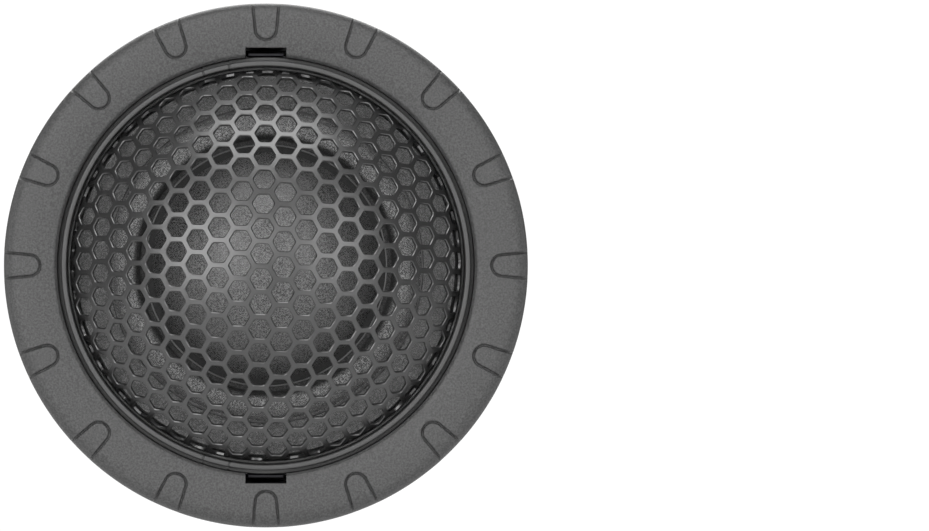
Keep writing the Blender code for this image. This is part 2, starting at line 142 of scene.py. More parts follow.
def softened(corners: Any, cut: float, steps: int = 4) -> Points:
    """Round the corners of a closed outline.

    Each corner gives way to a quadratic curve that leaves one side and joins the next at the
    distance cut from the corner, or at 45 % of a shorter side. A corner on the axis stays.

    Args:
        corners: (n, 2) corners.
        cut: distance from the corner, in mm.
        steps: points on each curve, less one.

    Returns:
        The closed outline with curves for corners.
    """
    outline = np.asarray(corners, float)
    before = np.roll(outline, 1, axis=0) - outline
    after = np.roll(outline, -1, axis=0) - outline
    before_length = np.linalg.norm(before, axis=1, keepdims=True)
    after_length = np.linalg.norm(after, axis=1, keepdims=True)
    reach = np.minimum(cut, 0.45 * np.minimum(before_length, after_length))
    reach = np.where(outline[:, :1] < 1e-9, 0.0, reach)
    start = (outline + before / before_length * reach)[:, None]
    end = (outline + after / after_length * reach)[:, None]
    t = np.linspace(0.0, 1.0, steps + 1)[None, :, None]
    s = 1.0 - t
    curve = s ** 2 * start + 2.0 * t * s * outline[:, None] + t ** 2 * end
    return curve.reshape(-1, 2)


def smooth_step(t: Points) -> Points:
    """The cubic step from 0 to 1 over t from 0 to 1."""
    t = np.clip(t, 0.0, 1.0)
    return t * t * (3.0 - 2.0 * t)


def face_lists(faces: Faces) -> list[list[int]]:
    """Faces as lists; a quad whose neighbouring corners are one point becomes a triangle."""
    equal = faces == np.roll(faces, -1, axis=1)
    flat = equal.any(axis=1)
    pick = (equal[flat].argmax(axis=1)[:, None] + np.arange(1, 4)) % 4
    triangles = np.take_along_axis(faces[flat], pick, axis=1)
    return faces[~flat].tolist() + triangles.tolist()


# ---------------------------------------------------------------- meshes


def placed(name: str, data: bpy.types.ID) -> Piece:
    """Put a new object with this data into the scene, at the origin."""
    made = bpy.data.objects.new(name, data)
    bpy.context.scene.collection.objects.link(made)
    return made


def shade(mesh: bpy.types.Mesh, crease: float) -> None:
    """Shade smooth up to the crease angle, in degrees."""
    mesh.polygons.foreach_set("use_smooth", np.ones(len(mesh.polygons), dtype=bool))
    mesh.set_sharp_from_angle(angle=math.radians(crease))


def close_up(mesh: bpy.types.Mesh, crease: float) -> None:
    """Merge doubled points, turn the faces outwards and shade smooth up to the crease angle."""
    shape = bmesh.new()
    shape.from_mesh(mesh)
    bmesh.ops.remove_doubles(shape, verts=shape.verts, dist=2e-7)
    bmesh.ops.dissolve_degenerate(shape, edges=shape.edges, dist=1e-8)
    bmesh.ops.recalc_face_normals(shape, faces=shape.faces)
    shape.to_mesh(mesh)
    shape.free()
    shade(mesh, crease)


def put_mesh(name: str, points: Points, faces: Faces, crease: float = CREASE) -> Piece:
    """Make one closed mesh of points in mm: poles are merged and faces point outwards.

    Args:
        name: the piece's name.
        points: (..., 3) points in mm.
        faces: (n, 4) point numbers.
        crease: angle in degrees above which an edge stays sharp.

    Returns:
        The new object, at the origin.
    """
    mesh = bpy.data.meshes.new(name)
    mesh.from_pydata((points.reshape(-1, 3) * MM).tolist(), [], face_lists(faces))
    close_up(mesh, crease)
    return placed(name, mesh)


def revolved(
    name: str,
    profile: Points,
    angles: Points,
    crease: float = CREASE,
    closed: bool = True,
    at: tuple[float, float] = (0.0, 0.0),
) -> Piece:
    """A piece of revolution.

    Args:
        name: the piece's name.
        profile: the points that turned carries round.
        angles: (m,) angles in radians.
        crease: angle in degrees above which an edge stays sharp.
        closed: whether the profile's last point joins its first.
        at: (x, z) of the piece's own axis, in mm.

    Returns:
        The new object.
    """
    points = turned(profile, angles) + np.array([at[0], 0.0, at[1]])
    faces = grid_faces(len(angles), profile.shape[-2], True, closed)
    return put_mesh(name, points, faces, crease)


def turned_piece(name: str, corners: Any, cut: float) -> Piece:
    """A piece of revolution in 144 steps, from a closed outline whose corners are softened."""
    return revolved(name, softened(corners, cut), even_angles(144))


def square_ring(name: str, node: str, inner: float, cut: float) -> Piece:
    """A ring of square section in a node's place, with the radius of its bore and its cut."""
    e = envelope(node)
    corners = [(inner, e.front), (e.radius, e.front), (e.radius, e.back), (inner, e.back)]
    return turned_piece(name, corners, cut)


def block(low: Corner, high: Corner) -> Piece:
    """A box for cutting with: the eight corners of low and high, in mm, (x, f, z)."""
    corner = np.array(np.meshgrid([0, 1], [0, 1], [0, 1], indexing="ij")).reshape(3, -1).T
    span = np.array(low) + corner * (np.array(high) - np.array(low))
    faces = [[0, 1, 3, 2], [4, 6, 7, 5], [0, 4, 5, 1], [2, 3, 7, 6], [0, 2, 6, 4], [1, 5, 7, 3]]
    return put_mesh("cutter", span * np.array([1.0, -1.0, 1.0]), np.array(faces))


def block_pair(low: Corner, high: Corner) -> list[Piece]:
    """A box for cutting with, and the same box half a turn round the axis."""
    (x, f, z), (u, g, w) = low, high
    return [block(low, high), block((-u, f, -w), (-x, g, -z))]


def peg(x: float, z: float, radius: float, front: float, back: float) -> Piece:
    """A round peg for cutting with: a 24-sided outline about (x, z), carried along Y."""
    outline = np.array([(0.0, front), (radius, front), (radius, back), (0.0, back)])
    return revolved("cutter", outline, even_angles(24), at=(x, z))


def carve(piece: Piece, cutters: list[Piece], crease: float = CREASE) -> None:
    """Take the cutters out of a piece and drop them.

    Args:
        piece: the mesh that is cut.
        cutters: closed meshes that overlap it.
        crease: angle in degrees above which an edge stays sharp.
    """
    for cutter in cutters:
        step = piece.modifiers.new("carve", "BOOLEAN")
        step.operation = "DIFFERENCE"
        step.solver = "EXACT"
        step.object = cutter
    bpy.context.view_layer.update()
    evaluated = piece.evaluated_get(bpy.context.evaluated_depsgraph_get())
    made = bpy.data.meshes.new_from_object(evaluated)
    piece.modifiers.clear()
    spare = piece.data
    piece.data = made
    made.name = spare.name
    bpy.data.meshes.remove(spare)
    for cutter in cutters:
        bpy.data.objects.remove(cutter, do_unlink=True)
    shade(made, crease)


# ---------------------------------------------------------------- finishes


def linear(colour: str) -> tuple[float, float, float, float]:
    """The linear colour of an sRGB hex value such as #5A5A5C."""
    channels = np.array([int(colour[i:i + 2], 16) for i in (1, 3, 5)]) / 255.0
    low = channels / 12.92
    high = ((channels + 0.055) / 1.055) ** 2.4
    return (*np.where(channels <= 0.04045, low, high).tolist(), 1.0)


MATH, VECTOR = "ShaderNodeMath", "ShaderNodeVectorMath"
MIX, RANGE = "ShaderNodeMix", "ShaderNodeMapRange"


def fill(tree: Tree, node: bpy.types.Node, inputs: dict[str | int, Any]) -> None:
    """Give a node's inputs their values, or link them where a value is a socket."""
    for key, value in inputs.items():
        if isinstance(value, Socket):
            tree.links.new(value, node.inputs[key])
        else:
            node.inputs[key].default_value = value


def add_node(
    tree: Tree, kind: str, inputs: dict[str | int, Any], **settings: Any
) -> bpy.types.Node:
    """Add a node, set its options and fill or link its inputs.

    Args:
        tree: the node tree.
        kind: the node's Blender type.
        inputs: values, or sockets to link from, by input name or number.
        settings: options by attribute name.

    Returns:
        The node.
    """
    node = tree.nodes.new(kind)
    for key, value in settings.items():
        setattr(node, key, value)
    fill(tree, node, inputs)
    return node


class Pattern(Enum):
    """How a surface was made, which decides its fine relief."""

    SPARK = "spark-eroded mould grain"
    SKIN = "smooth mould skin"
    WEAVE = "woven and coated"
    FIBRE = "pressed fibre"
    ROLLED = "rolled strip"
    FOAM = "open cells"
    WOUND = "wound wire"
    SPRAYED = "sprayed paint"


@dataclass(frozen=True)
class Finish:
    """A surface finish.

    The two colours are the ends of its natural variation. size_mm is the spacing of its pattern
    and relief_mm the height of it. spread is how far the roughness varies either way. Between
    the radii shade_from and shade_to, in mm, the colour falls to the share shaded_share: painted
    shade.
    """

    name: str
    dark: str
    light: str
    roughness: float
    pattern: Pattern
    size_mm: float
    relief_mm: float
    metallic: float = 0.0
    ior: float = 1.5
    spread: float = 0.05
    sheen: float = 0.0
    shade_from: float = 0.0
    shade_to: float = 0.0
    shaded_share: float = 1.0

    def material(self) -> bpy.types.Material:
        """The finish's material, made once."""
        ready = bpy.data.materials.get(self.name)
        if ready is not None:
            return ready
        made = bpy.data.materials.new(self.name)
        made.use_nodes = True
        tree = made.node_tree
        where = add_node(tree, "ShaderNodeTexCoord", {}).outputs["Object"]
        relief, tone = self.relief_and_tone(tree, where)
        ends = {"Factor": tone, "A": linear(self.dark), "B": linear(self.light)}
        colour = add_node(tree, MIX, ends, data_type="RGBA").outputs[2]
        low, high = self.roughness - self.spread, self.roughness + self.spread
        span = {"Value": tone, "To Min": max(low, 0.02), "To Max": min(high, 1.0)}
        raised = {"Height": relief, "Distance": self.relief_mm * MM}
        surface = {
            # painted shade: the colour falls towards black over a band of radii, for finishes that
            # have one
            "Base Color": self.with_painted_shade(tree, where, colour),
            "Roughness": add_node(tree, RANGE, span).outputs[0],
            "Normal": add_node(tree, "ShaderNodeBump", raised).outputs[0],
            "Metallic": self.metallic,
            "IOR": self.ior,
            "Sheen Weight": self.sheen,
        }
        fill(tree, tree.nodes["Principled BSDF"], surface)
        return made

    def coat(self, piece: Piece) -> None:
        """Put the finish on a piece, in place of any other."""
        piece.data.materials.clear()
        piece.data.materials.append(self.material())

    def with_painted_shade(self, tree: Tree, where: Socket, colour: Socket) -> Socket:
        """Paint shade: darken a colour over the radius from the axis.

        Args:
            tree: the material's nodes.
            where: object coordinates, in metres.
            colour: the colour so far.

        Returns:
            The colour, mixed towards black between the two radii.
        """
        if self.shaded_share == 1.0:
            return colour
        across = {0: where, 1: (1.0, 0.0, 1.0)}
        flat = add_node(tree, VECTOR, across, operation="MULTIPLY").outputs[0]
        span = {
            "Value": add_node(tree, VECTOR, {0: flat}, operation="LENGTH").outputs["Value"],
            "From Min": self.shade_from * MM,
            "From Max": self.shade_to * MM,
            "To Max": 1.0 - self.shaded_share,
        }
        share = add_node(tree, RANGE, span, interpolation_type="SMOOTHSTEP").outputs[0]
        ends = {"Factor": share, "A": colour, "B": (0.0, 0.0, 0.0, 1.0)}
        return add_node(tree, MIX, ends, data_type="RGBA").outputs[2]

    def relief_and_tone(self, tree: Tree, where: Socket) -> tuple[Socket, Socket]:
        """Add the pattern's nodes.

        Args:
            tree: the material's nodes.
            where: object coordinates, in metres.

        Returns:
            The relief's height and the tone between the two colours, both from 0 to 1.
        """
        scale = 1.0 / (self.size_mm * MM)
        grain = self.noise(tree, where, scale, 2.0)
        if self.pattern is Pattern.WEAVE:
            woven = self.weave(tree, where, grain)
            return woven, woven
        if self.pattern is Pattern.WOUND:
            bands = {"Vector": where, "Scale": scale / 20.0 * math.pi}
            rings = add_node(tree, "ShaderNodeTexWave", bands, bands_direction="Y").outputs["Fac"]
            return rings, rings
        if self.pattern is Pattern.ROLLED:
            drawn = {"Vector": where, "Scale": (1.0, 0.05, 1.0)}
            drawn_out = add_node(tree, "ShaderNodeMapping", drawn).outputs[0]
            fine = self.noise(tree, drawn_out, scale, 3.0)
            return fine, self.noise(tree, where, scale / 12.0, 2.0)
        if self.pattern in (Pattern.SKIN, Pattern.SPRAYED):
            return grain, self.noise(tree, where, scale / 9.0, 3.0)
        specks = {"Value": grain, "From Min": 0.34, "From Max": 0.68}
        return grain, add_node(tree, RANGE, specks).outputs[0]

    @staticmethod
    def noise(tree: Tree, where: Socket, scale: float, detail: float) -> Socket:
        """Fractal noise of a given scale, in waves per metre."""
        inputs = {"Vector": where, "Scale": scale, "Detail": detail}
        return add_node(tree, "ShaderNodeTexNoise", inputs).outputs[0]

    def weave(self, tree: Tree, where: Socket, grain: Socket) -> Socket:
        """Plain weave seen from the front: the product of a wave along X and a wave along Z.

        Noise of the same spacing is added, so that single threads catch the light.

        Args:
            tree: the material's nodes.
            where: object coordinates, in metres.
            grain: noise at the thread spacing.

        Returns:
            The height of the threads, from 0 to 1.
        """
        axes = add_node(tree, "ShaderNodeSeparateXYZ", {0: where})
        turns = math.pi / (self.size_mm * MM)
        waves = []
        for axis in ("X", "Z"):
            phase = add_node(tree, MATH, {0: axes.outputs[axis], 1: turns}, operation="MULTIPLY")
            waves.append(add_node(tree, MATH, {0: phase.outputs[0]}, operation="SINE").outputs[0])
        crossed = add_node(tree, MATH, dict(enumerate(waves)), operation="MULTIPLY").outputs[0]
        threads = {"Value": crossed, "From Min": -1.0}
        uneven = {"Value": grain, "From Min": 0.42, "From Max": 0.68}
        a, b = (add_node(tree, RANGE, span).outputs[0] for span in (threads, uneven))
        return add_node(tree, MIX, {"Factor": 0.75, "A": a, "B": b}).outputs[0]


# Polycarbonate blend moulded in a spark-eroded tool: an even, fine, matte grain, drawn a little
# coarser than the real one so that it shows.
SPARK_PLASTIC = Finish(
    "pc_abs_spark_textured", "#202020", "#3D3D3D", 0.6, Pattern.SPARK, 0.2, 0.032
)
# The same plastic from a polished part of the tool: a dull, slightly uneven skin.
SKIN_PLASTIC = Finish("pc_abs_moulded", "#2A2A2A", "#363636", 0.5, Pattern.SKIN, 0.5, 0.004)
# Glass-filled nylon, moulded: darker, with faint flow marks.
NYLON = Finish("glass_filled_nylon_moulded", "#232323", "#303030", 0.5, Pattern.SKIN, 0.4, 0.008)
# Perforated steel sheet, pressed and then sprayed: semi-gloss with a faint orange peel.
PAINTED_STEEL = Finish(
    "steel_sheet_sprayed", "#151515", "#1A1A1A", 0.32, Pattern.SPRAYED, 0.5, 0.003,
    ior=1.7, spread=0.02,
)
# Silk coated with damping resin: each thread crest shines a little. The colour is painted darker
# towards the flank, as shade. The threads are drawn coarser than real ones so that they show.
COATED_SILK = Finish(
    "coated_silk_formed", "#121212", "#868686", 0.3, Pattern.WEAVE, 0.13, 0.02,
    ior=1.6, shade_from=4.6, shade_to=12.6, shaded_share=0.4,
)
# The surround's cloth takes less coating, so it is rougher; its inner foot is painted dark with
# shade.
SURROUND_CLOTH = Finish(
    "treated_cloth_formed", "#141414", "#989898", 0.6, Pattern.WEAVE, 0.13, 0.03,
    ior=1.3, shade_from=14.4, shade_to=13.8, shaded_share=0.2,
)
# The dome's foot, painted near-black with the shade that fills the valley between dome and
# surround.
SHADED_SILK = Finish(
    "silk_painted_shade", "#161616", "#303030", 0.85, Pattern.WEAVE, 0.13, 0.02, ior=1.35
)
# The same cloth where it is glued down over the flare, painted darker with the shade under the
# grille's edge.
COLLAR_CLOTH = Finish(
    "treated_cloth_painted_shade", "#0C0C0C", "#707070", 0.5, Pattern.WEAVE, 0.13, 0.035
)
# Rubber-based adhesive that set in a smooth bead.
ADHESIVE = Finish("adhesive_bead", "#4A4A4A", "#5E5E5E", 0.3, Pattern.SKIN, 0.6, 0.004)
# Polyurethane foam tape: open cells.
FOAM = Finish("polyurethane_foam_cut", "#161616", "#2A2A2A", 0.9, Pattern.FOAM, 0.35, 0.06)
# Nitrile rubber, moulded: dull and dusty.
RUBBER = Finish("nitrile_rubber_moulded", "#1C1C1C", "#282828", 0.7, Pattern.SKIN, 0.4, 0.01)
# Wool felt, pressed: short fibres at all angles.
FELT = Finish(
    "wool_felt_pressed", "#6C6C6A", "#9A9A96", 0.95, Pattern.FIBRE, 0.22, 0.08, sheen=0.4
)
# Polyester wadding: pale, loose fibre.
WADDING = Finish(
    "polyester_wadding", "#C8C8C4", "#EDEDEA", 0.95, Pattern.FIBRE, 0.5, 0.25, sheen=0.5
)
# Low-carbon steel, zinc plated: bright with soft cloudy spangle.
ZINC = Finish(
    "mild_steel_zinc_plated", "#6E7174", "#96999C", 0.45, Pattern.SKIN, 0.3, 0.004, metallic=1.0
)
# Neodymium magnet, nickel plated: nearly a mirror.
NICKEL = Finish(
    "magnet_nickel_plated", "#B4B0A8", "#CFCBC2", 0.16, Pattern.SKIN, 0.5, 0.002, metallic=1.0
)
# Cold-rolled spring strip, blued in oil: dark, with fine lines along its length.
SPRING = Finish(
    "spring_steel_blued", "#1C1C1E", "#2C2C2E", 0.45, Pattern.ROLLED, 0.08, 0.004, metallic=1.0
)
# Brass strip, tinned: soft grey metal.
TINNED = Finish(
    "brass_tinned", "#B9B7B0", "#D6D4CC", 0.28, Pattern.ROLLED, 0.1, 0.004, metallic=1.0
)
# Polyimide film: amber and glossy.
FILM = Finish("polyimide_film", "#7A4A12", "#98601C", 0.25, Pattern.SKIN, 0.5, 0.002, ior=1.7)
# Enamelled copper wire, wound side by side, drawn with turns of 0.24 mm so that they show.
WINDING = Finish(
    "copper_wire_enamelled", "#6E3312", "#A4562A", 0.3, Pattern.WOUND, 0.24, 0.04, metallic=0.7
)
# Paper laminate bonded with phenolic resin: brown, with the paper's mottle.
PHENOLIC = Finish("phenolic_paper_laminate", "#4A2E1A", "#6A4628", 0.45, Pattern.SKIN, 0.25, 0.006)
# Extruded PVC sleeve on the leads.
SLEEVE = Finish("pvc_extruded", "#1A1A1A", "#242424", 0.4, Pattern.SKIN, 0.3, 0.004)
# White paper of the floor, smooth and matt.
PAPER = Finish("paper_sweep", "#E4E4E4", "#ECECEC", 0.9, Pattern.SKIN, 4.0, 0.01)


def dress(
    piece: Piece, finish: Finish, body: str = "housing", stands_for: tuple[str, ...] = ()
) -> Piece:
    """Give a new piece its finish and the body that it rides on.

    Args:
        piece: the new object.
        finish: its finish.
        body: the CAD body that carries it.
        stands_for: the CAD nodes that it replaces.

    Returns:
        The piece.
    """
    finish.coat(piece)
    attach(piece, body)
    if stands_for:
        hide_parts(*stands_for)
    return piece


def keep_node(name: str, finish: Finish) -> Piece:
    """Keep a CAD node as it is and give it a finish."""
    finish.coat(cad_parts[name])
    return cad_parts[name]


def eased_copy(
    node: str, name: str, finish: Finish, slot: str, width: float, body: str = "housing"
) -> Piece:
    """A copy of a CAD node with its edges eased by a narrow bevel.

    Args:
        node: the CAD node that it stands for.
        name: the new piece's name.
        finish: its finish.
        slot: the record's material slot; not used.
        width: width of the bevel, in mm.
        body: the CAD body that carries it.

    Returns:
        The new piece.
    """
    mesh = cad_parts[node].data.copy()
    mesh.name = name
    close_up(mesh, 35.0)
    piece = placed(name, mesh)
    edges = piece.modifiers.new("eased_edges", "BEVEL")
    edges.width = width * MM
    edges.segments = 2
    edges.limit_method = "ANGLE"
    edges.angle_limit = math.radians(40.0)
    edges.harden_normals = True
    return dress(piece, finish, body, (node,))


# ---------------------------------------------------------------- details that sub-assemblies share


def glue_line(name: str, radius: float, level: float, thick: float, body: str) -> Piece:
    """A bead of adhesive: a small circle carried round the axis.

    Args:
        name: the piece's name.
        radius: distance of its middle from the axis, in mm.
        level: distance of its middle in front of the panel, in mm.
        thick: radius of the circle, in mm.
        body: the CAD body that carries it.

    Returns:
        The new piece.
    """
    turn = even_angles(10)
    profile = np.stack([radius + thick * np.cos(turn), level + thick * np.sin(turn)], axis=-1)
    piece = revolved(name, profile, even_angles(192), 60.0)
    return dress(piece, ADHESIVE, body)


def screw_places() -> list[tuple[float, float]]:
    """(x, z) of the three rear screws on their circle of radius 17.6, the first at the top."""
    turns = [FULL_TURN * k / 3.0 for k in range(3)]
    return [(17.6 * math.sin(a), 17.6 * math.cos(a)) for a in turns]


def lead_slots(back: float, front: float) -> list[Piece]:
    """Cutters for the two slots that the leads run in, between two distances from the panel."""
    return block_pair((14.5, back, -0.6), (17.45, front, 0.6))


# ---------------------------------------------------------------- sub-assemblies


@dataclass
class TrimFlange:
    """The crowned ring, with shallow recesses open at its edge, two windows and a gasket."""

    bore: float = 22.27
    crest_radius: float = 25.2
    crest_fall: float = 0.4
    chamfer: float = 0.25
    edge_ease: float = 0.12
    recesses: int = 16
    recess_end: float = 23.92
    recess_half: float = 1.25
    recess_outer_half: float = 1.52
    recess_depth: float = 0.22
    groove_depth: float = 0.42
    groove_wall: float = 0.18
    window_half: float = 2.19
    window_reach: float = 23.2
    latch_reach: float = 23.4
    tape_width: float = 2.8

    def __post_init__(self) -> None:
        """Take the outer sizes from the frame."""
        self.shell = envelope("trim_flange")
        self.edge_height = self.shell.back + 0.4

    def crown(self, r: Points) -> Points:
        """Height of the face over r.

        Outside the crest it is a superellipse down to the edge; inside it is a shallow parabola,
        and over the chamfer's width it falls at about 45 degrees to the bore.
        """
        rise = self.shell.front - self.edge_height
        out = np.clip((r - self.crest_radius) / (self.shell.radius - self.crest_radius), 0.0, 1.0)
        inward = np.clip((self.crest_radius - r) / (self.crest_radius - self.bore), 0.0, 1.0)
        outer = self.edge_height + rise * (1.0 - out ** 3.6) ** 0.45
        slope = self.shell.front - self.crest_fall * inward ** 2
        lip = np.clip(self.bore + self.chamfer - r, 0.0, None) * 0.9
        return np.where(r > self.crest_radius, outer, slope - lip)

    def radii(self) -> Points:
        """Radii of the face's rows: close together round the recesses' inner ends."""
        flat, fine, coarse = self.bore + self.chamfer, self.recess_end - 0.2, 25.4
        parts = ((self.bore, flat, 4), (flat, fine, 7), (fine, coarse, 32))
        rows = [np.linspace(*part, endpoint=False) for part in parts]
        outer = coarse + (self.shell.radius - coarse) * np.linspace(0.0, 1.0, 26) ** 0.6
        return np.concatenate([*rows, outer])

    def angles(self) -> Points:
        """Angles of the face's columns: close together across each recess."""
        near = np.linspace(0.0, math.radians(3.7), 33)
        far = np.linspace(near[-1], math.pi / self.recesses, 8)[1:]
        side = np.concatenate([near, far])
        sector = np.unique(np.round(np.concatenate([-side[1:], side[:-1]]), 9))
        return (even_angles(self.recesses)[:, None] + sector[None, :]).reshape(-1)

    def recess(self, r: Points, angle: Points) -> Points:
        """Depth of the recesses below the crown.

        The outline is a U: two straight sides that spread outwards, and a half circle at the
        inner end. The wall falls as a smooth step across the outline, into a narrow groove, and
        the floor rises from the groove as a second smooth step.
        """
        step = FULL_TURN / self.recesses
        off = (angle + step / 2.0) % step - step / 2.0
        across = np.abs(r * np.sin(off))
        along = r * np.cos(off) - (self.recess_end + self.recess_half)
        length = self.shell.radius - self.recess_end - self.recess_half
        spread = self.recess_outer_half - self.recess_half
        half = self.recess_half + np.clip(along, 0.0, None) / length * spread
        round_end = np.hypot(across, along) - self.recess_half
        walls_out = np.where(along > 0.0, across - half, round_end) / self.groove_wall
        wall, rise = smooth_step(0.5 - walls_out), smooth_step(-0.7 - walls_out)
        return wall * self.groove_depth - rise * (self.groove_depth - self.recess_depth)

    def build_ring(self) -> Piece:
        """The ring: the crowned face with its recesses, the edge, the back and the bore."""
        angles = self.angles()
        r, a = np.meshgrid(self.radii(), angles)
        crown = self.crown(r)
        back, rim, ease = self.shell.back, self.shell.radius, self.edge_ease
        height = np.maximum(crown - self.recess(r, a), np.minimum(crown, self.edge_height - ease))
        rest = np.array([(rim, back + ease), (rim - ease, back), (24.0, back), (self.bore, back)])
        profile = chained(len(angles), np.stack([r, height], axis=-1), rest)
        ring = revolved("flange_ring", profile, angles, 40.0)
        half = self.window_half
        cutters = []
        for low, high, reach in ((0.2, 2.0, self.latch_reach), (1.9, 5.0, self.window_reach)):
            cutters += block_pair((-half, low, 20.0), (half, high, reach))
        carve(ring, cutters, 40.0)
        return dress(ring, SPARK_PLASTIC, stands_for=("trim_flange",))

    def build_gasket(self) -> Piece:
        """The foam tape between the flange and the panel: a ring with rounded corners."""
        inner = envelope("panel_gasket").radius - self.tape_width
        gasket = square_ring("foam_gasket", "panel_gasket", inner, 0.25)
        dress(gasket, FOAM, stands_for=("panel_gasket",))
        return gasket

    def build(self) -> list[Piece]:
        """Both pieces of the flange."""
        return [self.build_ring(), self.build_gasket()]


@dataclass
class Barrel:
    """The threaded barrel, with the clamp washer and the nut that run on it."""

    wall_in: float = 22.3
    rear_wall_in: float = 22.6
    ledge_radius: float = 19.6
    ledge_front: float = -5.8
    ledge_back: float = -7.4
    pitch: float = 2.0
    thread_depth: float = 0.5
    thread_start: float = -1.6
    channel_half: float = 2.19
    channel_in: float = 22.0
    channel_reach: float = 23.4
    running_gap: float = 0.3
    nut_flange: float = 1.5
    nut_step: float = 1.3
    grips: int = 12
    grip_radius: float = 1.5
    grip_out: float = 0.6
    grip_start: float = math.radians(75.0)

    def __post_init__(self) -> None:
        """Take the outer sizes from the frame."""
        self.shell = envelope("mounting_barrel")
        self.runner_bore = self.shell.radius + self.running_gap

    def thread(self, angle: Points, f: Points) -> Points:
        """Depth of the thread below its crest.

        A rounded wave along the axis that advances one pitch for each turn, faded out at both
        ends of the barrel.
        """
        phase = f / self.pitch + angle / FULL_TURN
        wave = 0.5 - 0.5 * np.cos(FULL_TURN * phase)
        start = np.clip((self.thread_start - f) / 0.8, 0.0, 1.0)
        end = np.clip((f - (self.shell.back + 0.5)) / 0.6, 0.0, 1.0)
        return self.thread_depth * wave ** 0.8 * start * end

    def build_barrel(self) -> Piece:
        """The barrel: threaded outside, stepped inside, with a channel for each latch."""
        angles = even_angles(192)
        f, a = np.meshgrid(np.linspace(self.shell.front, self.shell.back, 130), angles)
        outer = np.stack([self.shell.radius - self.thread(a, f), f], axis=-1)
        rear, ledge, front = self.rear_wall_in, self.ledge_radius, self.wall_in
        inner = np.array([
            (rear, self.shell.back), (rear, self.ledge_back), (ledge, self.ledge_back),
            (ledge, self.ledge_front), (front, self.ledge_front), (front, self.shell.front),
        ])
        barrel = revolved("threaded_barrel", chained(len(angles), outer, inner), angles)
        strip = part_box("latch_spring_top")[1]
        root = -strip.y / MM
        clear = root + 2.1
        half, near = self.channel_half, self.channel_in
        cutters = block_pair((-half, clear, near), (half, 3.0, self.channel_reach))
        cutters += block_pair((-half, root - 0.2, near), (half, clear + 0.1, strip.z / MM + 0.15))
        carve(barrel, cutters)
        return dress(barrel, NYLON, stands_for=("mounting_barrel",))

    def build_washer(self) -> Piece:
        """The steel washer that the nut pushes at the panel."""
        piece = square_ring("clamp_washer_ring", "clamp_washer", self.runner_bore, 0.15)
        return dress(piece, ZINC, "clamp_carrier", ("clamp_washer",))

    def build_nut(self) -> Piece:
        """The nut: a collar with a flange, whose edge is scalloped for the fingers.

        Each scallop is the near side of a circle of radius g whose centre is at the radius c,
        outside the edge: r = c cos a - sqrt(g^2 - (c sin a)^2).
        """
        nut = envelope("clamp_nut")
        bore, collar = self.runner_bore, nut.radius - self.nut_step
        step_f = nut.front - self.nut_flange
        corners = [
            (bore, nut.front), (nut.radius, nut.front), (nut.radius, step_f),
            (collar, step_f), (collar, nut.back), (bore, nut.back),
        ]
        r, f = softened(corners, 0.2).T
        angles = even_angles(720)
        step = FULL_TURN / self.grips
        off = (angles - self.grip_start + step / 2.0) % step - step / 2.0
        centre = nut.radius + self.grip_out
        reach = np.clip(self.grip_radius ** 2 - (centre * np.sin(off)) ** 2, 0.0, None)
        limit = np.where(reach > 0.0, centre * np.cos(off) - np.sqrt(reach), nut.radius)[:, None]
        cut = np.minimum(r, np.maximum(limit, collar + 0.02))
        profile = np.stack(np.broadcast_arrays(np.where(r > collar + 0.01, cut, r), f), axis=-1)
        piece = revolved("clamp_nut_collar", profile, angles)
        return dress(piece, NYLON, "clamp_ring", ("clamp_nut",))

    def build(self) -> list[Piece]:
        """The barrel and what runs on it."""
        return [self.build_barrel(), self.build_washer(), self.build_nut()]


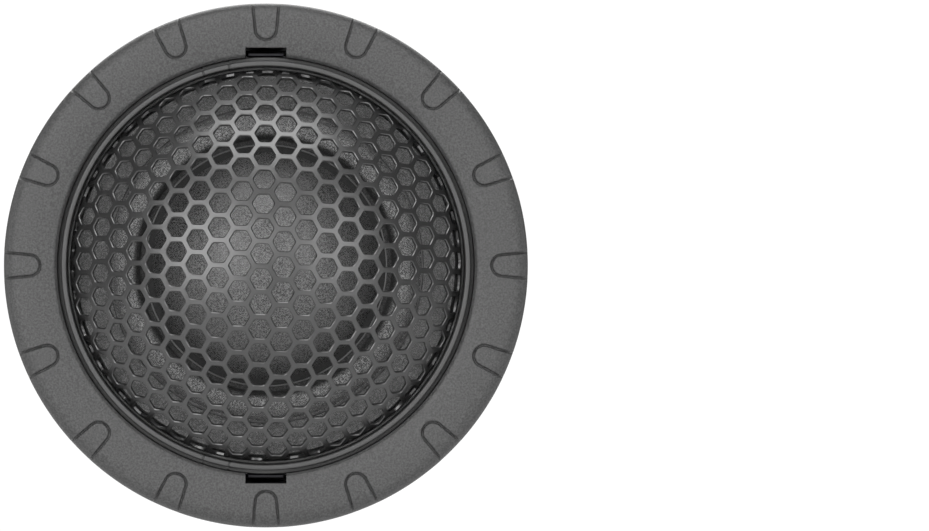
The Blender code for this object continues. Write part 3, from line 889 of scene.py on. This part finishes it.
@dataclass
class Grille:
    """The domed sheet of hexagonal holes.

    The sheet is laid out flat, then wrapped over the dome with its distances from the axis kept:
    a point at radius p goes to arc length p along the meridian.
    """

    pitch: float = 2.66
    across_flats: float = 2.06
    sheet: float = 0.32
    cap_radius: float = 29.0
    shoulder: float = 1.0
    lean: float = math.radians(1.6)
    hole_x: float = -0.41
    hole_z: float = 1.24
    edge_round: float = 0.08
    corner: float = 0.14

    def __post_init__(self) -> None:
        """Work out the meridian: cap, shoulder and skirt."""
        shell = envelope("grille")
        bent = self.cap_radius - self.shoulder
        self.tilt = math.asin((shell.radius - self.shoulder) / bent)
        self.cap_arc = self.cap_radius * self.tilt
        self.shoulder_arc = self.shoulder * (math.pi / 2.0 - self.tilt)
        self.sphere_f = shell.front - self.cap_radius
        skirt_f = self.sphere_f + bent * math.cos(self.tilt)
        self.whole_arc = self.cap_arc + self.shoulder_arc + skirt_f - shell.back

    def on_dome(self, flat: Points, depth: Points) -> Points:
        """Wrap flat points over the dome.

        On the cap the tilt is arc / radius; on the shoulder it goes on to 90 degrees over the
        shoulder's arc; then the skirt runs straight back. Depth is taken along the normal.

        Args:
            flat: (n, 2) x and z on the flat sheet.
            depth: (n,) distance below the outer surface.

        Returns:
            (n, 3) points.
        """
        arc = np.hypot(flat[:, 0], flat[:, 1])
        direction = flat / np.maximum(arc, 1e-9)[:, None]
        on_cap = np.minimum(arc, self.cap_arc) / self.cap_radius
        over = np.clip(arc - self.cap_arc, 0.0, self.shoulder_arc) / self.shoulder
        tilt = on_cap + over
        down = np.clip(arc - self.cap_arc - self.shoulder_arc, 0.0, None)
        bend = np.where(arc <= self.cap_arc, self.cap_radius, self.shoulder)
        middle = self.cap_radius - bend
        r = middle * math.sin(self.tilt) + (bend - depth) * np.sin(tilt)
        f = self.sphere_f + middle * math.cos(self.tilt) + (bend - depth) * np.cos(tilt) - down
        return np.stack([direction[:, 0] * r, -f, direction[:, 1] * r], axis=-1)

    def cell(self) -> tuple[Points, Points]:
        """One cell of the sheet: three rings of 12 points, with a pair of points at each corner.

        The pair cuts the corner off in the two inner rings, and is one point on the border.

        Returns:
            (3, 12, 2) points about the hole's centre (the hole's edge, the end of its rounding
            and the border with the next cells), and the (3,) depths of the rings.
        """
        side = 1.0 / math.sqrt(3.0)
        hole = self.across_flats * side
        sizes = np.array([hole, hole + self.edge_round * 2.0 * side, self.pitch * side])
        cuts = np.array([self.corner, self.corner, 0.0])
        turn = np.arange(6) * math.pi / 3.0 - self.lean
        corners = np.stack([np.cos(turn), np.sin(turn)], axis=-1)
        outline = sizes[:, None, None] * corners[None]
        after = np.roll(outline, -1, axis=1) - outline
        before = np.roll(outline, 1, axis=1) - outline
        share = (cuts / sizes)[:, None, None]
        pair = np.stack([outline + before * share, outline + after * share], axis=2)
        return pair.reshape(3, 12, 2), np.array([self.edge_round, 0.0, 0.0])

    def centres(self) -> Points:
        """Hole centres: a triangular lattice that leans a little, as far as the sheet reaches."""
        steps = np.arange(-60, 60)
        i, j = np.meshgrid(steps, steps)
        x = i * self.pitch * math.sqrt(3.0) / 2.0
        z = (j + (i % 2) * 0.5) * self.pitch
        c, s = math.cos(self.lean), math.sin(self.lean)
        lattice = np.stack([x * c + z * s + self.hole_x, z * c - x * s + self.hole_z], axis=-1)
        lattice = lattice.reshape(-1, 2)
        return lattice[np.hypot(lattice[:, 0], lattice[:, 1]) < self.whole_arc + self.pitch]

    def build(self) -> list[Piece]:
        """The sheet as one closed mesh.

        The front is a quilt of rings, the back is the same quilt one thickness down, and a wall
        joins them along every open edge: the holes and the skirt's foot.
        """
        rings, depths = self.cell()
        centres = self.centres()
        flat = (centres[:, None, None, :] + rings[None]).reshape(-1, 2)
        depth = np.broadcast_to(depths[None, :, None], (len(centres), 3, 12)).reshape(-1)
        faces = (np.arange(len(centres)) * 36)[:, None, None] + grid_faces(3, 12, False, True)
        key = np.round(np.column_stack([flat, depth]), 4)
        _, first, merged = np.unique(key, axis=0, return_index=True, return_inverse=True)
        flat, depth, faces = flat[first], depth[first], merged.reshape(-1)[faces.reshape(-1, 4)]
        arc = np.hypot(flat[:, 0], flat[:, 1])
        beyond = arc > self.whole_arc
        flat = np.where(beyond[:, None], flat * (self.whole_arc / arc)[:, None], flat)
        faces = faces[~beyond[faces].all(axis=1)]
        edges = np.stack([faces, np.roll(faces, -1, axis=1)], axis=-1).reshape(-1, 2)
        edges = edges[edges[:, 0] != edges[:, 1]]
        _, which, count = np.unique(
            np.sort(edges, axis=1), axis=0, return_index=True, return_counts=True
        )
        start, end = edges[which[count == 1]].T
        n = len(flat)
        walls = np.stack([end, start, start + n, end + n], axis=-1)
        back = self.on_dome(flat, np.full(n, self.sheet))
        points = np.concatenate([self.on_dome(flat, depth), back])
        quilt = np.concatenate([faces, faces[:, ::-1] + n, walls])
        used, quilt = np.unique(quilt, return_inverse=True)
        piece = put_mesh("perforated_grille", points[used], quilt.reshape(-1, 4), 30.0)
        return [dress(piece, PAINTED_STEEL, stands_for=("grille",))]


@dataclass
class Capsule:
    """The chassis, the bead ring that holds the grille, and the rubber ring under the capsule."""

    bead_width: float = 0.52
    bead_radius: float = 21.79
    shoulder_radius: float = 22.26
    shoulder_front: float = 1.4
    seam_angles: tuple[float, ...] = (-10.4, -18.0, -162.0, -169.6)
    seam_half: float = 0.2
    seam_depth: float = 0.15
    flare_in: float = 16.85
    flare_turn: float = 18.6
    flare_out: float = 20.25
    flare_foot: float = -0.65
    rim_front: float = -0.5
    rim_back: float = -5.05
    bore: float = 16.3
    tube: float = 19.2
    lip: float = 15.6
    seal_width: float = 2.0

    def build_chassis(self) -> Piece:
        """The chassis: rim, textured flare round the surround, lip and rear tube."""
        shell = envelope("chassis")
        seat = envelope("motor_cup").front + 0.05
        outline = [
            (shell.radius, self.rim_front), (shell.radius, self.rim_back),
            (self.tube, self.rim_back), (self.tube, shell.back),
            (self.bore, shell.back), (self.bore, seat),
            (self.lip, seat), (self.lip, self.flare_foot),
            (self.flare_in, self.flare_foot), (self.flare_in, -0.1),
            (self.flare_turn, 0.4), (self.flare_out, shell.front),
            (self.flare_out, self.rim_front),
        ]
        piece = turned_piece("chassis_body", outline, 0.1)
        cutters = block_pair((-2.2, -2.3, 21.55), (2.2, -0.9, 22.5)) + lead_slots(-11.0, -1.2)
        cutters += [peg(x, z, 1.0, -8.0, -11.0) for x, z in screw_places()]
        carve(piece, cutters)
        return dress(piece, SPARK_PLASTIC, stands_for=("chassis",))

    def build_bead(self) -> Piece:
        """The bead ring: a rounded bar with a low shoulder outside, pinched at its four seams.

        At a seam every point moves towards the middle of the bar by a share that falls off as a
        bell curve of the angle.
        """
        bead = envelope("grille_ring")
        bar, shoulder = self.bead_radius, self.shoulder_front
        inner = bar - self.bead_width
        outline = [
            (inner, bead.back), (bead.radius, bead.back), (bead.radius, shoulder - 0.3),
            (self.shoulder_radius, shoulder - 0.3), (self.shoulder_radius, shoulder),
            (bar, shoulder), (bar, bead.front), (inner, bead.front),
        ]
        profile = softened(outline, 0.16, 5)
        seams = np.radians(np.array(self.seam_angles))
        fine = (seams[:, None] + np.linspace(-0.012, 0.012, 17)[None, :]).reshape(-1) % FULL_TURN
        angles = np.sort(np.concatenate([even_angles(240), fine]))
        gap = np.abs((angles[:, None] - seams[None] + math.pi) % FULL_TURN - math.pi).min(axis=1)
        bell = np.exp(-((gap * bead.radius / (self.seam_half / 2.0)) ** 2))
        middle = np.array([bar - self.bead_width / 2.0, bead.front - 0.8])
        kept = 1.0 - self.seam_depth * bell[:, None, None]
        piece = revolved("bead_ring", middle + (profile - middle)[None] * kept, angles)
        return dress(piece, SKIN_PLASTIC, stands_for=("grille_ring",))

    def build_collar(self) -> Piece:
        """The surround's cloth collar, glued over the flare: a thin sheet along its line."""
        front = envelope("chassis").front
        line = np.array([
            (self.flare_in + 0.02, -0.05), (self.flare_in + 0.12, 0.02), (self.flare_turn, 0.46),
            (self.flare_out - 0.05, front + 0.03), (self.flare_out + 0.08, front - 0.3),
        ])
        under = line[::-1] - np.array([0.0, 0.1])
        piece = turned_piece("cloth_collar", np.concatenate([line, under]), 0.08)
        return dress(piece, COLLAR_CLOTH)

    def build_seal(self) -> Piece:
        """The rubber ring between the capsule and the barrel's ledge: a rounded square section."""
        inner = envelope("capsule_gasket").radius - self.seal_width
        piece = square_ring("capsule_seal", "capsule_gasket", inner, 0.25)
        return dress(piece, RUBBER, stands_for=("capsule_gasket",))

    def build(self) -> list[Piece]:
        """The capsule's shell, and the two latch strips that hold it."""
        made = [self.build_chassis(), self.build_bead(), self.build_collar(), self.build_seal()]
        made.append(glue_line("grille_bond", 21.09, 0.1, 0.16, "housing"))
        for side in ("top", "bottom"):
            node, name, body = "latch_spring_" + side, "latch_strip_" + side, "latch_" + side
            made.append(eased_copy(node, name, SPRING, "spring_steel", 0.05, body))
        return made


@dataclass
class Diaphragm:
    """The dome with its coil, the surround, and the two beads of adhesive that bond it."""

    cloth: float = 0.25
    dome_base: float = 12.2
    foot: float = 0.45
    roll_start: float = 12.95
    roll_middle: float = 15.0
    roll_half: float = 1.4
    roll_height: float = 1.65
    inner_level: float = 0.325
    outer_level: float = -0.475

    def skin(self, line: Points) -> Points:
        """The closed outline of the cloth: the line moved half its thickness to each side."""
        along = np.gradient(line, axis=0)
        along /= np.linalg.norm(along, axis=1, keepdims=True)
        side = np.stack([-along[:, 1], along[:, 0]], axis=-1) * self.cloth / 2.0
        return np.concatenate([line + side, (line - side)[::-1]])

    def build_dome(self) -> Piece:
        """The dome: a spherical cap that turns out into a flat foot over a small curve."""
        shell = envelope("dome")
        rise = shell.front - self.foot
        radius = (self.dome_base ** 2 + rise ** 2) / (2.0 * rise)
        middle = shell.front - radius
        under = self.foot - self.cloth
        inner_radius = radius - self.cloth
        t = np.linspace(0.0, math.asin(self.dome_base / radius), 48)
        u = np.linspace(math.acos((under - middle) / inner_radius), 0.0, 40)
        profile = np.concatenate([
            np.stack([radius * np.sin(t), middle + radius * np.cos(t)], axis=-1),
            [(shell.radius, self.foot), (shell.radius, under)],
            np.stack([inner_radius * np.sin(u), middle + inner_radius * np.cos(u)], axis=-1),
        ])
        piece = revolved("silk_dome", profile, even_angles(160), 50.0, closed=False)
        return dress(piece, COATED_SILK, "diaphragm", ("dome",))

    def build_surround(self) -> Piece:
        """The half roll: r goes round as a cosine, f as a sine on a base that falls outwards."""
        t = np.linspace(0.0, math.pi, 33)
        fall = (1.0 - np.cos(t)) / 2.0 * (self.outer_level - self.inner_level)
        r = self.roll_middle - self.roll_half * np.cos(t)
        roll = np.stack([r, self.inner_level + fall + self.roll_height * np.sin(t)], axis=-1)
        ends = (self.roll_start, self.inner_level), (envelope("surround").radius, self.outer_level)
        line = np.concatenate([ends[:1], roll, ends[1:]])
        piece = revolved("surround_roll", self.skin(line), even_angles(192), 50.0)
        SURROUND_CLOTH.coat(piece)
        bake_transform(piece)
        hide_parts("surround")
        return piece

    def build_foot(self) -> Piece:
        """A thin flat ring of cloth that lies on the dome's foot, painted near-black with shade."""
        low, high = self.foot + 0.01, self.foot + 0.04
        inner, outer = self.dome_base - 0.05, envelope("dome").radius - 0.02
        outline = [(inner, low), (inner, high + 0.05), (outer, high), (outer, low)]
        piece = turned_piece("dome_foot_cloth", outline, 0.01)
        return dress(piece, SHADED_SILK, "diaphragm")

    def build(self) -> list[Piece]:
        """Everything that moves with the dome, and the surround."""
        return [
            self.build_dome(),
            self.build_foot(),
            self.build_surround(),
            glue_line("dome_bond", 12.9, self.foot + 0.06, 0.08, "diaphragm"),
            glue_line("surround_bond", 16.78, self.outer_level + 0.2, 0.09, "housing"),
            keep_node("voice_coil_former", FILM),
            keep_node("voice_coil", WINDING),
        ]


@dataclass
class Motor:
    """The magnet between its steel cup and pole disc, and the felt under the dome."""

    felt_bore: float = 2.4

    def build(self) -> list[Piece]:
        """The motor's pieces."""
        felt = square_ring("felt_disc", "felt_pad", self.felt_bore, 0.3)
        dress(felt, FELT, stands_for=("felt_pad",))
        steel = [keep_node(name, ZINC) for name in ("pole_disc", "motor_cup")]
        return [felt, keep_node("magnet", NICKEL), *steel]


@dataclass
class RearEnd:
    """The rear cover with its screws, wadding, terminal board, blades and leads."""

    wall_in: float = 16.4
    floor: float = -15.2
    blade_gap: float = 0.2
    screw_seat: float = -16.65
    screw_pitch: float = 0.6
    screw_thread: float = 0.22
    head_radius: float = 1.4
    head_height: float = 0.55
    shaft_radius: float = 0.8
    cross_long: float = 0.85
    cross_wide: float = 0.16

    def build_cover(self) -> Piece:
        """The cover: a cup with three screw holes, two lead slots and two blade slots."""
        shell = envelope("rear_cover")
        outline = [
            (0.0, self.floor), (self.wall_in, self.floor), (self.wall_in, shell.front),
            (shell.radius, shell.front), (shell.radius, shell.back), (0.0, shell.back),
        ]
        cover = turned_piece("cover_cup", outline, 0.35)
        cutters = [peg(x, z, 1.0, -10.0, -18.0) for x, z in screw_places()]
        cutters += lead_slots(self.floor + 0.2, -10.0)
        for blade in ("terminal_positive", "terminal_negative"):
            left, right = (corner.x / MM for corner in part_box(blade))
            low, high = (left - self.blade_gap, -20.0, -0.6), (right + self.blade_gap, -14.0, 0.6)
            cutters.append(block(low, high))
        carve(cover, cutters)
        return dress(cover, NYLON, stands_for=("rear_cover",))

    def build_screw(self, number: int, x: float, z: float) -> Piece:
        """A pan-head screw with a cross slot and a thread of sharp turns.

        The shaft's radius falls from crest to root and back once for each pitch, and the thread
        climbs one pitch for each turn.
        """
        node = "rear_screw_%d" % number
        shell = envelope(node)
        angles = even_angles(36)
        f, a = np.meshgrid(np.linspace(shell.front - 0.6, self.screw_seat, 84), angles)
        wave = np.abs(((f / self.screw_pitch + a / FULL_TURN) % 1.0) * 2.0 - 1.0)
        shaft_r = self.shaft_radius - self.screw_thread * wave * (f < shell.front - 1.0)
        turn = np.linspace(0.0, math.pi / 2.0, 8)
        deep = shell.back + self.head_height
        head_f = deep - self.head_height * np.sin(turn)
        head = np.column_stack([self.head_radius * np.cos(turn) ** 0.5, head_f])
        head[0, 1] = deep + 0.05
        head[-1] = (0.0, shell.back)
        back = np.concatenate([[(self.head_radius, self.screw_seat)], head])
        tip = np.array([(0.0, shell.front)])
        profile = chained(len(angles), tip, np.stack([shaft_r, f], axis=-1), back)
        piece = revolved("pan_screw_%d" % number, profile, angles, 35.0, False, (x, z))
        top, sizes = shell.back - 1.0, (self.cross_long, self.cross_wide)
        bars = [(u, w) for u, w in (sizes, sizes[::-1])]
        cross = [block((x - u, top, z - w), (x + u, deep, z + w)) for u, w in bars]
        carve(piece, cross, 35.0)
        return dress(piece, ZINC, stands_for=(node,))

    def build_wadding(self) -> Piece:
        """The wadding: a disc whose faces swell and dip by a few tenths, as loose fibre does."""
        pad = envelope("rear_wadding")
        middle, half = (pad.front + pad.back) / 2.0, (pad.front - pad.back) / 2.0
        t = np.linspace(0.0, math.pi, 40)
        r = pad.radius * np.sin(t) ** 0.35
        r[[0, -1]] = 0.0
        f = middle + half * np.sign(np.cos(t)) * np.abs(np.cos(t)) ** 0.35
        points = turned(np.column_stack([r, f]), even_angles(96))
        dip = 1.0 - 0.12 * (0.5 + 0.5 * np.sin(points[..., 0] * 1.7) * np.cos(points[..., 2] * 1.3))
        points[..., 1] = -middle + (points[..., 1] + middle) * dip
        piece = put_mesh("wadding_disc", points, grid_faces(96, 40, True, False), 60.0)
        dress(piece, WADDING, stands_for=("rear_wadding",))
        return piece

    def build(self) -> list[Piece]:
        """The rear end's pieces."""
        made = [self.build_cover(), self.build_wadding()]
        places = [screw_places()[i] for i in (0, 2, 1)]
        made += [self.build_screw(i, x, z) for i, (x, z) in enumerate(places, 1)]
        board = ("terminal_board", "laminate_board", PHENOLIC, "phenolic_board", 0.12)
        made.append(eased_copy(*board))
        for side in ("positive", "negative"):
            blade = ("terminal_" + side, "blade_" + side, TINNED, "tinned_brass", 0.07)
            made += [eased_copy(*blade), keep_node("lead_" + side, SLEEVE)]
        return made


# ---------------------------------------------------------------- studio


@dataclass
class Softbox:
    """A rectangular light: where it stands as angles from the face's axis, its size and power."""

    name: str
    right: float
    up: float
    width: float
    height: float
    watts: float


@dataclass
class Studio:
    """The floor, the lights, the pale surroundings and the camera."""

    lens: float = 150.0
    sensor: float = 36.0
    scale_mm_per_step: float = 0.10695
    frame_width: int = 929
    shift_right: float = 0.2138
    floor_z: float = -0.13
    light_distance: float = 1.2
    room_light: float = 0.10
    room_seen: float = 1.05

    boxes: tuple[Softbox, ...] = (
        Softbox("light_above", 0.0, 60.0, 1.0, 0.64, 13.2),
        Softbox("light_left", -29.0, 6.0, 0.74, 1.0, 14.3),
        Softbox("light_right", 31.0, 6.0, 0.6, 1.0, 8.6),
        Softbox("light_front", 0.0, 12.0, 0.4, 0.27, 1.5),
        Softbox("light_far_left", -104.0, 8.0, 0.5, 0.9, 4.0),
        Softbox("light_far_right", 104.0, 8.0, 0.5, 0.9, 3.0),
        Softbox("light_behind", 180.0, 38.0, 1.0, 0.6, 12.0),
    )

    def build_floor(self) -> None:
        """A plain pale floor under the tweeter, small enough to be lit right to its edge."""
        x, y = np.meshgrid(np.linspace(-0.8, 0.8, 25), np.linspace(-1.0, 0.5, 25))
        points = np.stack([x, y, np.full_like(x, self.floor_z)], axis=-1).reshape(-1, 3)
        mesh = bpy.data.meshes.new("floor")
        mesh.from_pydata(points.tolist(), [], grid_faces(25, 25, False, False)[:, ::-1].tolist())
        floor = placed("floor", mesh)
        PAPER.coat(floor)

    def build_lights(self) -> None:
        """Place each softbox on its direction from the face and aim it at the middle."""
        for box in self.boxes:
            right, up = math.radians(box.right), math.radians(box.up)
            level = math.cos(up)
            away = Vector((math.sin(right) * level, -math.cos(right) * level, math.sin(up)))
            data = bpy.data.lights.new(box.name, "AREA")
            data.shape = "RECTANGLE"
            data.size, data.size_y, data.energy = box.width, box.height, box.watts
            light = placed(box.name, data)
            light.location = away * self.light_distance
            light.rotation_mode = "QUATERNION"
            light.rotation_quaternion = (-away).to_track_quat("-Z", "Y")

    def build_surroundings(self) -> None:
        """A white room as a backdrop, which lights the tweeter only softly."""
        world = bpy.data.worlds.new("white_room")
        world.use_nodes = True
        tree = world.node_tree
        tree.nodes.clear()
        mixed = {0: add_node(tree, "ShaderNodeLightPath", {}).outputs["Is Camera Ray"]}
        for place, strength in ((1, self.room_light), (2, self.room_seen)):
            white = {0: (1.0, 1.0, 1.0, 1.0), 1: strength}
            mixed[place] = add_node(tree, "ShaderNodeBackground", white).outputs[0]
        both = add_node(tree, "ShaderNodeMixShader", mixed).outputs[0]
        add_node(tree, "ShaderNodeOutputWorld", {0: both})
        bpy.context.scene.world = world

    def build_camera(self) -> None:
        """A long lens on the tweeter's axis, shifted so that the tweeter stands on the left."""
        data = bpy.data.cameras.new("camera")
        data.lens, data.sensor_width, data.shift_x = self.lens, self.sensor, self.shift_right
        data.clip_start, data.clip_end = 0.01, 20.0
        data.dof.use_dof = False
        camera = placed("camera", data)
        distance = self.scale_mm_per_step * self.frame_width * self.lens / self.sensor
        camera.location = (0.0, -(distance + 0.8) * MM, 0.0)
        camera.rotation_euler = (math.pi / 2.0, 0.0, 0.0)
        bpy.context.scene.camera = camera

    def build(self) -> None:
        """The whole studio."""
        self.build_floor()
        self.build_lights()
        self.build_surroundings()
        self.build_camera()
        bpy.context.scene.view_settings.view_transform = "Standard"


def main() -> None:
    """Build every sub-assembly, report its pieces and set up the studio."""
    logging.basicConfig(level=logging.INFO, format="%(name)s: %(message)s")
    parts = (TrimFlange(), Barrel(), Capsule(), Grille(), Diaphragm(), Motor(), RearEnd())
    for part in parts:
        for piece in part.build():
            LOG.info("%s: %s, %d faces", type(part).__name__, piece.name, len(piece.data.polygons))
    Studio().build()


if __name__ == "__main__":
    main()
